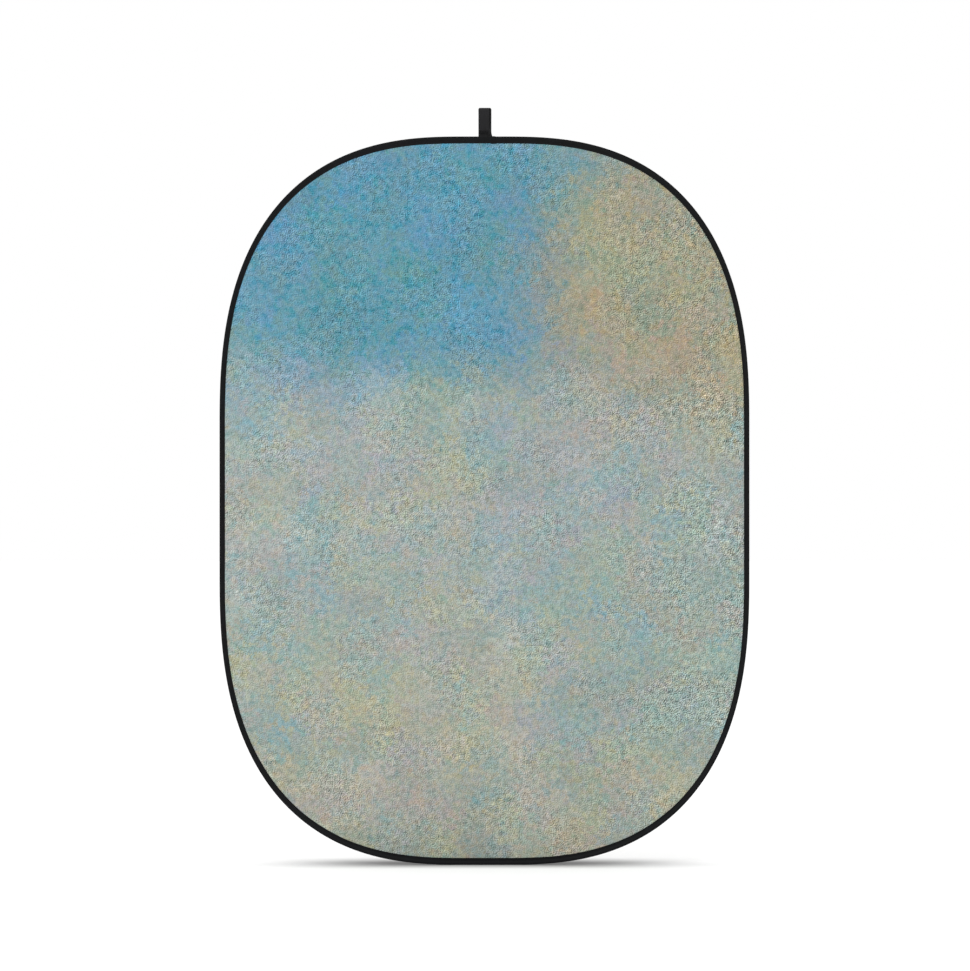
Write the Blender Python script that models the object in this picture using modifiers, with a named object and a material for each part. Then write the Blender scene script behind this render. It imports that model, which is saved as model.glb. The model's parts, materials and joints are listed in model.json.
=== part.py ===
"""A pop-up photo backdrop: two cloths stretched in a sprung steel hoop, hung by a webbing loop.

The hoop of a pop-up backdrop bends, so the panel is modelled as flat bands, one above the other.
Neighbouring bands meet on a hinge line across the panel. The lines share out the bend in half with
which the backdrop starts to collapse. The webbing loop turns about its own foot, above the rim.

Metres, +Z up, +X to the right of the printed face, the printed face towards -Y.
The origin is the highest point inside the hanging loop, where a hook carries the backdrop.
"""

import math

import bpy
import bmesh
from mathutils import Vector

# Panel outline: a flat top and bottom, straight sides, and one superellipse arc in each corner.
PANEL_WIDTH = 1.500
PANEL_HEIGHT = 2.062
FLAT_TOP_HALF = 0.063
STRAIGHT_SIDE_HALF = 0.217
CORNER_POWER = 2.54
CORNER_STEPS = 24

# Clearance between pieces that touch on the real backdrop.
GAP = 0.0003

# Two plies of cloth, back to back.
CLOTH_THICKNESS = 0.0006
CLOTH_INSET = 0.006

# Sprung hoop: a flat steel strip whose ends overlap in a crimped sleeve at the bottom.
HOOP_WIDTH = 0.008
HOOP_THICKNESS = 0.001
HOOP_INSET = 0.0027
SPLICE_HALF_LENGTH = 0.028
SLEEVE_HALF_LENGTH = 0.030
SLEEVE_WALL = 0.0005
JOGGLE_START = 0.050
JOGGLE_END = 0.036

# Binding: a tape folded over the hoop and stitched down on both cloths.
BINDING_WIDTH = 0.018
BINDING_THICKNESS = 0.0009
BINDING_HALF_DEPTH = 0.0060
BINDING_SHOULDER = 0.0056
BINDING_FLANGE = 0.0125
LAP_THICKNESS = 0.0008
LAP_SPAN = (0.0190, 0.0310)

# Hanging loop: a webbing strip folded in two, with its tails sewn behind the rim.
WEBBING_WIDTH = 0.030
WEBBING_THICKNESS = 0.0016
LOOP_RISE = 0.082
LOOP_RADIUS = 0.0050
LOOP_FOOT = 0.0040
LOOP_HINGE_RISE = 0.0030
TACK_SPAN = (0.0065, 0.0175)
TACK_WIDTH = 0.026
TACK_THICKNESS = 0.0004
TAIL_TOP = 0.0005
TAIL_LENGTH = 0.024
CROWN_STEPS = 16

# Fold: the hinge lines share a half turn evenly, over a bend of the coiled hoop's radius.
FOLD_LINES = 8
FOLD_RADIUS = 0.331
BAND_GAP = 0.003

LINE_SPACING = math.pi * FOLD_RADIUS / FOLD_LINES
RIM_Z = WEBBING_THICKNESS - LOOP_RISE
PANEL_Z = RIM_Z - PANEL_HEIGHT / 2
PANEL_Y = -(BINDING_HALF_DEPTH + GAP + WEBBING_THICKNESS)
BOTTOM_Z = RIM_Z - PANEL_HEIGHT
PLY_Y = GAP / 2 + CLOTH_THICKNESS / 2

COLOURS = {
    "print": ((0.42, 0.52, 0.53), 0.85, 0.0),
    "lining": ((0.62, 0.62, 0.60), 0.90, 0.0),
    "binding": ((0.012, 0.012, 0.013), 0.80, 0.0),
    "webbing": ((0.026, 0.026, 0.027), 0.70, 0.0),
    "thread": ((0.008, 0.008, 0.009), 0.60, 0.0),
    "hoop": ((0.45, 0.45, 0.46), 0.35, 1.0),
    "sleeve": ((0.60, 0.60, 0.58), 0.30, 1.0),
}


def clear_scene():
    for obj in list(bpy.data.objects):
        bpy.data.objects.remove(obj, do_unlink=True)


def new_collection(name):
    collection = bpy.data.collections.new(name)
    bpy.context.scene.collection.children.link(collection)
    return collection


def new_material(name, finish):
    """A Principled BSDF with the finish's colour, roughness and metallic value."""
    colour, roughness, metallic = COLOURS[finish]
    material = bpy.data.materials.new(name)
    material.use_nodes = True
    shader = material.node_tree.nodes["Principled BSDF"]
    shader.inputs["Base Color"].default_value = (*colour, 1.0)
    shader.inputs["Roughness"].default_value = roughness
    shader.inputs["Metallic"].default_value = metallic
    material.diffuse_color = (*colour, 1.0)
    return material


def outline(inset):
    """(x, z) points once round the panel, this far inside its rim, with z from the panel's middle."""
    span_x = PANEL_WIDTH / 2 - FLAT_TOP_HALF
    span_z = PANEL_HEIGHT / 2 - STRAIGHT_SIDE_HALF
    corner = []
    for step in range(CORNER_STEPS + 1):
        angle = math.pi / 2 * step / CORNER_STEPS
        across, up = abs(math.cos(angle)), abs(math.sin(angle))
        point = Vector((
            FLAT_TOP_HALF + span_x * across ** (2 / CORNER_POWER),
            STRAIGHT_SIDE_HALF + span_z * up ** (2 / CORNER_POWER),
        ))
        fall = 2 - 2 / CORNER_POWER
        normal = Vector((across**fall / span_x, up**fall / span_z)).normalized()
        corner.append(point - inset * normal)
    right = [(p.x, p.y) for p in corner]
    top_left = [(-x, z) for x, z in reversed(right)]
    upper = right + top_left
    return upper + [(-x, -z) for x, z in upper]


def plane_curve(name, splines, closed=True):
    """A 2D curve object whose own XY plane stands in the world's XZ plane."""
    curve = bpy.data.curves.new(name, "CURVE")
    curve.dimensions = "2D"
    for points in splines:
        spline = curve.splines.new("POLY")
        spline.points.add(len(points) - 1)
        for target, (x, y) in zip(spline.points, points):
            target.co = (x, y, 0.0, 1.0)
        spline.use_cyclic_u = closed
    obj = bpy.data.objects.new(name, curve)
    bpy.context.scene.collection.objects.link(obj)
    obj.rotation_euler = (math.pi / 2, 0.0, 0.0)
    return obj


def mesh_of(obj, name):
    """The evaluated shape of obj as a closed mesh in world coordinates. obj is removed."""
    bpy.context.view_layer.update()
    evaluated = obj.evaluated_get(bpy.context.evaluated_depsgraph_get())
    mesh = bpy.data.meshes.new_from_object(evaluated)
    mesh.transform(obj.matrix_world)
    mesh.name = name
    bpy.data.objects.remove(obj, do_unlink=True)
    shape = bmesh.new()
    shape.from_mesh(mesh)
    bmesh.ops.remove_doubles(shape, verts=shape.verts, dist=1e-6)
    bmesh.ops.recalc_face_normals(shape, faces=shape.faces)
    shape.to_mesh(mesh)
    shape.free()
    return mesh


def cloth_sheet(name, ply_y):
    """One ply: the panel's outline, filled and given the cloth's thickness."""
    curve = plane_curve(name, [outline(CLOTH_INSET)])
    curve.location = (0.0, PANEL_Y + ply_y, PANEL_Z)
    curve.data.fill_mode = "BOTH"
    curve.data.extrude = CLOTH_THICKNESS / 2
    return mesh_of(curve, name)


def hoop_strip(name, points, closed):
    """A strip on edge along the points: its width across the panel, its thickness in the panel's plane."""
    curve = plane_curve(name, [points], closed)
    curve.location = (0.0, PANEL_Y, PANEL_Z)
    curve.data.fill_mode = "NONE"
    curve.data.extrude = HOOP_WIDTH / 2
    thicken = curve.modifiers.new("Thickness", "SOLIDIFY")
    thicken.thickness = HOOP_THICKNESS
    thicken.offset = 0.0
    return mesh_of(curve, name)


def binding_profile(clearance, thickness, reach):
    """(inset, depth) points of the tape's section: a channel over the hoop that closes to a flange.

    The section lies this far outside the binding's own outer face, and is open at its inner edge.
    """
    flange = PLY_Y + CLOTH_THICKNESS / 2 + GAP + BINDING_THICKNESS
    outer = [
        (0.0, 0.0050),
        (0.0005, 0.0057),
        (0.0014, BINDING_HALF_DEPTH),
        (BINDING_SHOULDER, BINDING_HALF_DEPTH),
        (BINDING_FLANGE, flange),
        (reach, flange),
    ]

    def half(offset):
        moved = []
        for inset, depth in outer:
            at_rim = inset < 0.001
            moved.append((inset - offset if at_rim else inset, depth if at_rim else depth + offset))
        moved[0] = (-offset, outer[0][1])
        return moved

    far, near = half(clearance + thickness), half(clearance)
    return (
        far
        + list(reversed(near))
        + [(inset, -depth) for inset, depth in near]
        + [(inset, -depth) for inset, depth in reversed(far)]
    )


def swept_profile(name, profile, path, closed):
    """The profile carried along the path in the panel's plane, its inset towards the panel's middle."""
    section = plane_curve(name + "_section", [[(inset, depth) for inset, depth in profile]])
    sweep = plane_curve(name, [path], closed)
    sweep.location = (0.0, PANEL_Y, PANEL_Z)
    sweep.data.fill_mode = "NONE"
    sweep.data.bevel_mode = "OBJECT"
    sweep.data.bevel_object = section
    sweep.data.use_fill_caps = not closed
    mesh = mesh_of(sweep, name)
    bpy.data.objects.remove(section, do_unlink=True)
    return mesh


class Backdrop:
    """Collects the pieces, their cutters and the empties that stand on the joints' axes."""

    def __init__(self):
        self.parts = new_collection("pop_up_backdrop")
        self.cutters = new_collection("cutters")

    def add(self, name, mesh, finish, pivot=None):
        obj = bpy.data.objects.new(name, mesh)
        mesh.materials.clear()
        mesh.materials.append(new_material(name, finish))
        self.parts.objects.link(obj)
        if pivot is not None:
            obj.parent = pivot
            obj.matrix_parent_inverse = pivot.matrix_world.inverted()
        return obj

    def pivot(self, name, place, parent=None):
        """An empty on a joint's axis, carried by the pivot above it."""
        empty = bpy.data.objects.new(name, None)
        empty.empty_display_size = 0.05
        empty.location = place
        self.parts.objects.link(empty)
        bpy.context.view_layer.update()
        if parent is not None:
            empty.parent = parent
            empty.matrix_parent_inverse = parent.matrix_world.inverted()
            bpy.context.view_layer.update()
        return empty

    def box(self, name, low, high):
        """A cutter box between two corners."""
        low, high = Vector(low), Vector(high)
        mesh = bpy.data.meshes.new(name)
        shape = bmesh.new()
        bmesh.ops.create_cube(shape, size=1.0)
        bmesh.ops.scale(shape, vec=high - low, verts=shape.verts)
        bmesh.ops.translate(shape, vec=(low + high) / 2, verts=shape.verts)
        shape.to_mesh(mesh)
        shape.free()
        obj = bpy.data.objects.new(name, mesh)
        obj.hide_render = True
        obj.display_type = "WIRE"
        self.cutters.objects.link(obj)
        return obj

    def slice(self, name, mesh, finish, cutter, pivot):
        """The part of the mesh that lies in the cutter."""
        obj = self.add(name, mesh.copy(), finish, pivot)
        keep = obj.modifiers.new("Keep the band", "BOOLEAN")
        keep.operation = "INTERSECT"
        keep.object = cutter
        return obj


def band_limits():
    """(name, lowest z, highest z) of each band, from the top down, and the z of each hinge line."""
    first_line = PANEL_Z + LINE_SPACING * (FOLD_LINES - 1) / 2
    lines = [first_line - LINE_SPACING * step for step in range(FOLD_LINES)]
    beyond = 0.02
    edges = [RIM_Z + beyond] + lines + [BOTTOM_Z - beyond]
    names = ["top"] + [f"band_{count}" for count in range(1, FOLD_LINES)] + ["bottom"]
    bands = []
    for name, high, low in zip(names, edges, edges[1:]):
        bands.append((name, low + BAND_GAP / 2, high - BAND_GAP / 2))
    return bands, lines


def splice_path(side):
    """(x, z) points of one hoop end, from the sleeve round its lower corner. side is -1 for the left end."""
    path = [point for point in outline(HOOP_INSET) if point[1] < 0.0 and point[0] * side > 0.0]
    path.sort(key=lambda point: math.atan2(abs(point[0]), -point[1]))
    floor_z = path[0][1]
    second_layer = floor_z + HOOP_THICKNESS + GAP
    if side < 0:
        return [(SPLICE_HALF_LENGTH, floor_z)] + path
    return [
        (-SPLICE_HALF_LENGTH, second_layer),
        (JOGGLE_END, second_layer),
        (JOGGLE_START, floor_z),
    ] + path


def build_bands(backdrop):
    """The cloths, binding and hoop of every band, each band on the hinge line above it."""
    bands, lines = band_limits()
    front = cloth_sheet("print", -PLY_Y)
    back = cloth_sheet("lining", PLY_Y)
    binding = swept_profile("binding", binding_profile(-BINDING_THICKNESS, BINDING_THICKNESS, BINDING_WIDTH),
                            outline(0.0), True)
    hoop = hoop_strip("hoop", outline(HOOP_INSET), True)
    side_reach = PANEL_WIDTH
    depth = 0.05
    pivot, pivots = None, {}
    for (name, low, high), line in zip(bands, [None] + lines):
        if line is not None:
            pivot = backdrop.pivot(f"{name}_fold_axis", (0.0, PANEL_Y, line), pivot)
        pivots[name] = pivot
        whole = backdrop.box(f"{name}_cutter", (-side_reach, -depth, low), (side_reach, depth, high))
        backdrop.slice(f"{name}_print", front, "print", whole, pivot)
        backdrop.slice(f"{name}_lining", back, "lining", whole, pivot)
        if name in ("top", "bottom"):
            backdrop.slice(f"{name}_binding", binding, "binding", whole, pivot)
            if name == "top":
                backdrop.slice("top_hoop", hoop, "hoop", whole, pivot)
            continue
        for side, edge in (("left", -1), ("right", 1)):
            near, far = sorted((0.0, edge * side_reach))
            half = backdrop.box(f"{name}_{side}_cutter", (near, -depth, low), (far, depth, high))
            backdrop.slice(f"{name}_{side}_binding", binding, "binding", half, pivot)
            backdrop.slice(f"{name}_{side}_hoop", hoop, "hoop", half, pivot)
    bottom_cutter = bpy.data.objects["bottom_cutter"]
    for side, edge in (("left", -1), ("right", 1)):
        end = hoop_strip(f"hoop_end_{side}", splice_path(edge), False)
        backdrop.slice(f"bottom_{side}_hoop", end, "hoop", bottom_cutter, pivot)
    for mesh in (front, back, binding, hoop):
        bpy.data.meshes.remove(mesh)
    return pivots


def build_sleeve(backdrop, pivot):
    """The crimped sleeve: a flat tube round both layers of the hoop's ends."""
    low = BOTTOM_Z + HOOP_INSET - HOOP_THICKNESS / 2 - GAP
    high = BOTTOM_Z + HOOP_INSET + HOOP_THICKNESS * 3 / 2 + 2 * GAP
    half = HOOP_WIDTH / 2 + GAP
    wall = SLEEVE_WALL
    rings = []
    for grow in (wall, 0.0):
        rings.append([
            (-half - grow, low - grow),
            (half + grow, low - grow),
            (half + grow, high + grow),
            (-half - grow, high + grow),
        ])
    tube = plane_curve("hoop_sleeve_tube", rings)
    tube.rotation_euler = (math.pi / 2, 0.0, math.pi / 2)
    tube.location = (0.0, PANEL_Y, 0.0)
    tube.data.fill_mode = "BOTH"
    tube.data.extrude = SLEEVE_HALF_LENGTH
    backdrop.add("hoop_sleeve", mesh_of(tube, "hoop_sleeve"), "sleeve", pivot)


def build_lap(backdrop):
    """The end of the binding tape, turned under and lapped over its start beside the loop."""
    top = PANEL_HEIGHT / 2
    path = [(LAP_SPAN[0], top), (LAP_SPAN[1], top)]
    profile = binding_profile(GAP, LAP_THICKNESS, BINDING_WIDTH + 0.001)
    backdrop.add("binding_lap", swept_profile("binding_lap", profile, path, False), "binding")


def loop_half_width(rise):
    """Half the distance between the loop's two legs, this far above the rim."""
    closed = WEBBING_THICKNESS / 2
    crown = LOOP_RISE - WEBBING_THICKNESS / 2 - LOOP_RADIUS
    spread = min(max((rise - TACK_SPAN[1]) / (crown - TACK_SPAN[1]), 0.0), 1.0)
    return closed + (LOOP_RADIUS - closed) * math.sin(spread * math.pi / 2)


def loop_contour(offset, start_rise):
    """(y, z) points up the loop's back leg, over its crown and down its front leg."""
    crown = LOOP_RISE - WEBBING_THICKNESS / 2 - LOOP_RADIUS
    leg_steps = 10
    leg = []
    for step in range(leg_steps):
        rise = start_rise + (crown - start_rise) * step / leg_steps
        leg.append((loop_half_width(rise) + offset, RIM_Z + rise))
    arc = []
    for step in range(CROWN_STEPS + 1):
        angle = math.pi * step / CROWN_STEPS
        radius = LOOP_RADIUS + offset
        arc.append((radius * math.cos(angle), RIM_Z + crown + radius * math.sin(angle)))
    return leg + arc + [(-y, z) for y, z in reversed(leg)]


def side_extrusion(name, rings, half_width, middle_x=0.0):
    """(y, z) rings filled, with inner rings as holes, and extruded along X."""
    curve = plane_curve(name, rings)
    curve.rotation_euler = (math.pi / 2, 0.0, math.pi / 2)
    curve.location = (middle_x, 0.0, 0.0)
    curve.data.fill_mode = "BOTH"
    curve.data.extrude = half_width
    return mesh_of(curve, name)


def build_loop(backdrop):
    """The webbing loop on its own pivot, the two thread patches of its bar tack, and its tails."""
    pivot = backdrop.pivot("loop_axis", (0.0, 0.0, RIM_Z + LOOP_HINGE_RISE))
    half_ply = WEBBING_THICKNESS / 2
    eye_foot = TACK_SPAN[1] + 0.004
    rings = [loop_contour(half_ply, LOOP_FOOT), loop_contour(-half_ply, eye_foot)]
    loop = side_extrusion("hanging_loop", rings, WEBBING_WIDTH / 2)
    backdrop.add("hanging_loop", loop, "webbing", pivot)
    for side, edge in (("front", -1), ("back", 1)):
        near = edge * (WEBBING_THICKNESS + GAP)
        far = near + edge * TACK_THICKNESS
        low, high = RIM_Z + TACK_SPAN[0], RIM_Z + TACK_SPAN[1]
        patch = [(near, low), (far, low), (far, high), (near, high)]
        mesh = side_extrusion(f"loop_tack_{side}", [patch], TACK_WIDTH / 2)
        backdrop.add(f"loop_tack_{side}", mesh, "thread", pivot)
    near = [
        (BINDING_HALF_DEPTH + GAP, -TAIL_TOP),
        (BINDING_HALF_DEPTH + GAP, -BINDING_SHOULDER),
        (PLY_Y + CLOTH_THICKNESS / 2 + 2 * GAP + BINDING_THICKNESS, -BINDING_FLANGE),
        (PLY_Y + CLOTH_THICKNESS / 2 + 2 * GAP + BINDING_THICKNESS, -TAIL_LENGTH),
    ]
    both_plies = 2 * WEBBING_THICKNESS
    far = [(y + both_plies, z) for y, z in near]
    section = [(PANEL_Y + y, RIM_Z + z) for y, z in near + far[::-1]]
    backdrop.add("loop_tails", side_extrusion("loop_tails", [section], WEBBING_WIDTH / 2), "webbing")


def shade_round_pieces():
    for obj in bpy.data.objects:
        if obj.type == "MESH" and not obj.hide_render:
            obj.data.shade_smooth()
            obj.data.set_sharp_from_angle(angle=math.radians(35))


def main():
    clear_scene()
    backdrop = Backdrop()
    pivots = build_bands(backdrop)
    build_sleeve(backdrop, pivots["bottom"])
    build_lap(backdrop)
    build_loop(backdrop)
    shade_round_pieces()


main()
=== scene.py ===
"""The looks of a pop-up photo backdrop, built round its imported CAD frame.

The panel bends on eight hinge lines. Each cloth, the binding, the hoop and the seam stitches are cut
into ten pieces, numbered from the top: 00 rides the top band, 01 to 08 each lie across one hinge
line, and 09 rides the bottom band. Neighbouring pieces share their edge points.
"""

import json
import math

import bpy
import numpy as np
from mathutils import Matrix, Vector, noise


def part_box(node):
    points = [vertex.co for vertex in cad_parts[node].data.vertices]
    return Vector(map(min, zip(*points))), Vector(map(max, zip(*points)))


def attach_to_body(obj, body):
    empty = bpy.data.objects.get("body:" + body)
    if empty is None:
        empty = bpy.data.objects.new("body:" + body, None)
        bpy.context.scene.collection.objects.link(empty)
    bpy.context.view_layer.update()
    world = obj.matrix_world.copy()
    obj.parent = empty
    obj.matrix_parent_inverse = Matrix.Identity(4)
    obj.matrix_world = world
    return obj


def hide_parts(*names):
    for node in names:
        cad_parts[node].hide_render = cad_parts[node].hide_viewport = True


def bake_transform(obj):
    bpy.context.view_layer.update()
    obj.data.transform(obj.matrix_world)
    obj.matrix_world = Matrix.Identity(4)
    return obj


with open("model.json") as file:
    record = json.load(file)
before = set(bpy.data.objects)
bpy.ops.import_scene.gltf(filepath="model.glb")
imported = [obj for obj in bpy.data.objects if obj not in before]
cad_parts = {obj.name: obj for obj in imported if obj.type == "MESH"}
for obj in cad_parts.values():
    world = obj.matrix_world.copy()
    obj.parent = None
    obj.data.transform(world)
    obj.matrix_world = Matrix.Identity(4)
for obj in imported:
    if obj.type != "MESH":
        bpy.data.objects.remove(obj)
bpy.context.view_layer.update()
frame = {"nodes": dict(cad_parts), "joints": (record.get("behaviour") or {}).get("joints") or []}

# Measures of the frame.
BINDING_LOW, BINDING_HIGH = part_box("top_binding")
RIM_Z = BINDING_HIGH.z
BOTTOM_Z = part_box("bottom_binding")[0].z
PANEL_Y = (BINDING_LOW.y + BINDING_HIGH.y) / 2
PANEL_Z = (RIM_Z + BOTTOM_Z) / 2
HALF_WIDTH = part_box("band_4_right_binding")[1].x
HALF_HEIGHT = (RIM_Z - BOTTOM_Z) / 2
FOLD_LINES = sorted((j["pos_m"][2] for j in frame["joints"] if j["name"].startswith("fold_")), reverse=True)
LINE_SPACING = FOLD_LINES[0] - FOLD_LINES[1]
# How far the first and last cuts lie outside the outermost hinge lines. The other cuts lie halfway
# between neighbouring lines.
FLAT_REACH = LINE_SPACING * math.sqrt(3) / 2
CUTS = [line - LINE_SPACING / 2 for line in FOLD_LINES[:-1]]
CUTS = [FOLD_LINES[0] + FLAT_REACH] + CUTS + [FOLD_LINES[-1] - FLAT_REACH]
BODIES = ["top"] + [f"band_{count}" for count in range(1, len(FOLD_LINES))] + ["bottom"]
PIECES = len(BODIES) + 1

# Outline, as in the CAD source: flat ends, straight sides and superellipse corners.
FLAT_TOP_HALF = 0.063
STRAIGHT_SIDE_HALF = 0.217
CORNER_POWER = 2.54
CORNER_STEPS = 240

# A middle piece's tongue lies under the next piece down: its length, and how far it is tucked in.
TONGUE = 0.0009
TUCK = 0.0001

# Cloth.
CLOTH_FACE = 0.00075
CLOTH_INSET = 0.006
CLOTH_COLUMNS = 110
CLOTH_ROW = 0.0065

# Binding tape and seam.
TAPE_WIDTH_SIDE = 0.0152
TAPE_WIDTH_END = 0.0195
TAPE_STEP = 0.0075
STITCH_INSET = 0.0130
STITCH_PITCH = 0.0045
THREAD_RADIUS = 0.00022
THREAD_TWIST = 0.0005
# The tape's face under the stitches, and a stitch's points: (share of the pitch, height over the face).
STITCH_BED = 0.00175
STITCH_ARC = [(0.10, -0.0002), (0.24, 0.00016), (0.50, 0.00024), (0.76, 0.00016), (0.90, -0.0002)]

# Hoop.
HOOP_INSET = 0.0027
HOOP_HALF_WIDTH = 0.004
HOOP_HALF_THICKNESS = 0.0005
HOOP_STEP = 0.018

# Loop.
PLY_HALF = 0.00085
WEBBING_THICKNESS = 0.0016
WEBBING_WIDTH = 0.0300
LOOP_RISE = 0.082
LOOP_FRONT_X = -0.0021
LOOP_BACK_X = 0.0046
LOOP_RADIUS = 0.0050
TACK_LOW = 0.0065
TACK_HIGH = 0.0175
TAIL_DROP = 0.024
# The bar tack: half its width, its passes, the thread, and a pass's points as in STITCH_ARC.
TACK_HALF_WIDTH = 0.0128
TACK_PASSES = 38
TACK_THREAD_RADIUS = 0.00036
TACK_ARC = [
    (0.0, -0.0003), (0.06, 0.0001), (0.35, 0.00022), (0.65, 0.00022), (0.94, 0.0001), (1.0, -0.0003),
]

# The share of the light that reaches the panel, against a white world alone.
LIGHT_GAIN = 1.19


def linear(colour, gain=1.0):
    """(r, g, b, 1) in scene light from an sRGB colour such as '5c98af'."""
    out = []
    for start in (0, 2, 4):
        value = int(colour[start:start + 2], 16) / 255
        value = value / 12.92 if value <= 0.04045 else ((value + 0.055) / 1.055) ** 2.4
        out.append(value * gain)
    return (*out, 1.0)


# ---------------------------------------------------------------- outline


def outline_table():
    """Columns s, x, z, nx, nz once round the rim, clockwise from the top middle.

    z is measured from the panel's middle.
    """
    span_x = HALF_WIDTH - FLAT_TOP_HALF
    span_z = HALF_HEIGHT - STRAIGHT_SIDE_HALF
    quarter = [(0.0, HALF_HEIGHT, 0.0, 1.0)]
    for step in range(CORNER_STEPS + 1):
        angle = math.pi / 2 * (1 - step / CORNER_STEPS)
        across, up = max(math.cos(angle), 0.0), max(math.sin(angle), 0.0)
        normal = Vector((
            across ** (2 - 2 / CORNER_POWER) / span_x,
            up ** (2 - 2 / CORNER_POWER) / span_z,
        )).normalized()
        quarter.append((
            FLAT_TOP_HALF + span_x * across ** (2 / CORNER_POWER),
            STRAIGHT_SIDE_HALF + span_z * up ** (2 / CORNER_POWER),
            normal.x,
            normal.y,
        ))
    right = quarter + [(x, -z, nx, -nz) for x, z, nx, nz in reversed(quarter)]
    left = [(-x, z, -nx, nz) for x, z, nx, nz in reversed(right)]
    points = np.array(right + left[1:])
    steps = np.hypot(np.diff(points[:, 0]), np.diff(points[:, 1]))
    keep = np.concatenate([[True], steps > 1e-9])
    points = points[keep]
    along = np.concatenate([[0.0], np.cumsum(np.hypot(np.diff(points[:, 0]), np.diff(points[:, 1])))])
    return np.column_stack([along, points])


RIM = outline_table()
RIM_LENGTH = RIM[-1, 0]
RIGHT_SIDE = RIM[RIM[:, 0] <= RIM_LENGTH / 2 + 1e-9]


def rim_at(distance):
    """(x, z, nx, nz) on the rim at this distance clockwise from the top middle."""
    s = distance % RIM_LENGTH
    x, z, nx, nz = (np.interp(s, RIM[:, 0], RIM[:, column]) for column in range(1, 5))
    length = math.hypot(nx, nz)
    return x, z, nx / length, nz / length


def rim_distance(height):
    """The distance along the right side to the rim point at this world z."""
    return float(np.interp(PANEL_Z - height, -RIGHT_SIDE[:, 2], RIGHT_SIDE[:, 0]))


def runs_of(piece):
    """The (start, end) rim distances that a piece covers, clockwise."""
    if piece == 0:
        reach = rim_distance(CUTS[0])
        return [(-reach, reach)]
    if piece == PIECES - 1:
        reach = rim_distance(CUTS[-1])
        return [(reach, RIM_LENGTH - reach)]
    near, far = rim_distance(CUTS[piece - 1]), rim_distance(CUTS[piece])
    return [(near, far), (RIM_LENGTH - far, RIM_LENGTH - near)]


def has_tongue(piece):
    """True for a middle piece with another middle piece below it."""
    return 0 < piece < PIECES - 2


def attach(obj, piece, *nodes):
    """Hangs the top and bottom pieces on their bodies, fixes the others' transforms in place, and has each
    stand for the CAD nodes of its band.
    """
    if piece == 0:
        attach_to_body(obj, "top")
    elif piece == PIECES - 1:
        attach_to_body(obj, "bottom")
    else:
        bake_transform(obj)
    band = BODIES[min(piece, len(BODIES) - 1)]
    names = [f"{band}_{node}" for node in nodes]
    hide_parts(*[name for name in names if name in frame["nodes"]])


def edge_noise(distance, turns, seed):
    """Smooth noise from -1 to 1 round the rim, without a jump at its start."""
    angle = 2 * math.pi * distance / RIM_LENGTH
    radius = turns / (2 * math.pi)
    return noise.noise(Vector((radius * math.cos(angle), radius * math.sin(angle), seed)))


# ---------------------------------------------------------------- meshes


def new_piece(name, vertices, faces, corner_uvs, material):
    """A smooth mesh object whose UV map 'rest' holds metres."""
    mesh = bpy.data.meshes.new(name)
    mesh.from_pydata(vertices, [], faces)
    layer = mesh.uv_layers.new(name="rest")
    layer.data.foreach_set("uv", np.array(corner_uvs, np.float32).ravel())
    mesh.shade_smooth()
    mesh.materials.append(material)
    mesh.update()
    obj = bpy.data.objects.new(name, mesh)
    bpy.context.scene.collection.objects.link(obj)
    return obj


class Shape:
    """Collects vertices, faces and the UVs of the faces' corners."""

    def __init__(self):
        self.vertices = []
        self.faces = []
        self.uvs = []

    def grid(self, rows, uvs, closed=False):
        """Quads between rows of points. uvs has one more column than rows where the rows are closed."""
        first = len(self.vertices)
        count = len(rows[0])
        for row in rows:
            self.vertices.extend(row)
        spans = count if closed else count - 1
        for r in range(len(rows) - 1):
            for c in range(spans):
                d = (c + 1) % count
                low, high = first + r * count, first + (r + 1) * count
                self.faces.append((low + c, low + d, high + d, high + c))
                self.uvs.extend((uvs[r][c], uvs[r][c + 1], uvs[r + 1][c + 1], uvs[r + 1][c]))

    def cap(self, row_start, count, centre_uv, flip):
        """One face over a closed row."""
        ring = list(range(row_start, row_start + count))
        self.faces.append(tuple(ring[::-1] if flip else ring))
        self.uvs.extend([centre_uv] * count)

    def tube(self, points, sides, radius, up, distance=0.0):
        """A round thread along the points, closed at both ends, with UVs along and round it."""
        first = len(self.vertices)
        rows, uvs = [], []
        for index, point in enumerate(points):
            before, after = points[max(index - 1, 0)], points[min(index + 1, len(points) - 1)]
            direction = (after - before).normalized()
            side = direction.cross(up).normalized()
            other = side.cross(direction)
            ring, ring_uv = [], []
            for turn in range(sides):
                angle = 2 * math.pi * turn / sides
                ring.append(point + radius * (math.cos(angle) * side + math.sin(angle) * other))
                ring_uv.append((distance, turn / sides * 2 * math.pi * radius))
            ring_uv.append((distance, 2 * math.pi * radius))
            rows.append(ring)
            uvs.append(ring_uv)
            if index < len(points) - 1:
                distance += (points[index + 1] - point).length
        self.grid(rows, uvs, closed=True)
        self.cap(first, sides, uvs[0][0], True)
        self.cap(first + sides * (len(points) - 1), sides, uvs[-1][0], False)

    def piece(self, name, material, slot):
        return new_piece(name, self.vertices, self.faces, self.uvs, material)


def panel_point(distance, inset, depth):
    """A point this far inside the rim, depth towards the back."""
    x, z, nx, nz = rim_at(distance)
    return Vector((x - inset * nx, PANEL_Y + depth, PANEL_Z + z - inset * nz))


def steps_between(start, end, step):
    """Evenly spaced values from start to end, about a step apart."""
    return np.linspace(start, end, max(2, int(round((end - start) / step)) + 1))


# ---------------------------------------------------------------- materials


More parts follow.
